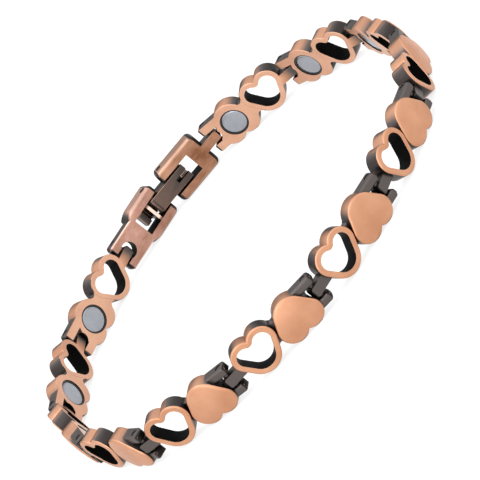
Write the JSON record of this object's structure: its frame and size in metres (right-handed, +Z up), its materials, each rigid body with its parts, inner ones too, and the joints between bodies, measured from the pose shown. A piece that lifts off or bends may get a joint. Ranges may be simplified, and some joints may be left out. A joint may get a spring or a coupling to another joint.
{
  "type": "magnetic bracelet",
  "caption": "Link bracelet of alternating open and solid hearts in antiqued copper, with round magnets set in the inner faces and a fold-over clasp, shown fastened and lying on its edge.",
  "frame": {"origin": "centre of the bracelet's box, on the surface that it lies on with its lower edge", "axes": "+Z up, along the axis of the ring; the clasp is at the back on the +Y side, and -Y is the front; the row of links runs from the fork bracket anticlockwise seen from above"},
  "size_m": [0.0664, 0.0654, 0.0059],
  "materials": {
    "copper_cast": "cast links plated in antique copper: satin faces, polished rims, blackened recesses",
    "copper_brushed": "clasp brackets plated in antique copper, brushed along the arms",
    "gunmetal": "blackened clasp leaves, matt brushed",
    "magnet_nickel": "nickel plated, satin face",
    "pin_steel": "blackened drawn wire"
  },
  "bodies": {
    "band": {"link_1": "copper_cast", "link_2": "copper_cast", "link_3": "copper_cast", "link_4": "copper_cast", "link_5": "copper_cast", "link_6": "copper_cast", "link_7": "copper_cast", "link_8": "copper_cast", "link_9": "copper_cast", "link_10": "copper_cast", "link_11": "copper_cast", "link_12": "copper_cast", "magnet_1": "magnet_nickel", "magnet_2": "magnet_nickel", "magnet_3": "magnet_nickel", "magnet_4": "magnet_nickel", "magnet_5": "magnet_nickel", "magnet_6": "magnet_nickel", "magnet_7": "magnet_nickel", "magnet_8": "magnet_nickel", "magnet_9": "magnet_nickel", "magnet_10": "magnet_nickel", "magnet_11": "magnet_nickel", "magnet_12": "magnet_nickel", "hinge_pin_1": "pin_steel", "hinge_pin_2": "pin_steel", "hinge_pin_3": "pin_steel", "hinge_pin_4": "pin_steel", "hinge_pin_5": "pin_steel", "hinge_pin_6": "pin_steel", "hinge_pin_7": "pin_steel", "hinge_pin_8": "pin_steel", "hinge_pin_9": "pin_steel", "hinge_pin_10": "pin_steel", "hinge_pin_11": "pin_steel", "hinge_pin_12": "pin_steel", "hinge_pin_13": "pin_steel", "tongue_bracket": "copper_brushed", "fork_bracket": "copper_brushed", "hook_leaf": "gunmetal", "hook_pin": "pin_steel", "cover_pin": "pin_steel"},
    "cover_leaf": {"cover_leaf": "gunmetal"}
  },
  "joints": [
    {"name": "cover_swing", "type": "hinge", "parent": "band", "child": "cover_leaf", "pos_m": [0.00013, 0.03111, 0.00293], "axis": [0, 0, -1], "range_deg": [0, 90]}
  ]
}
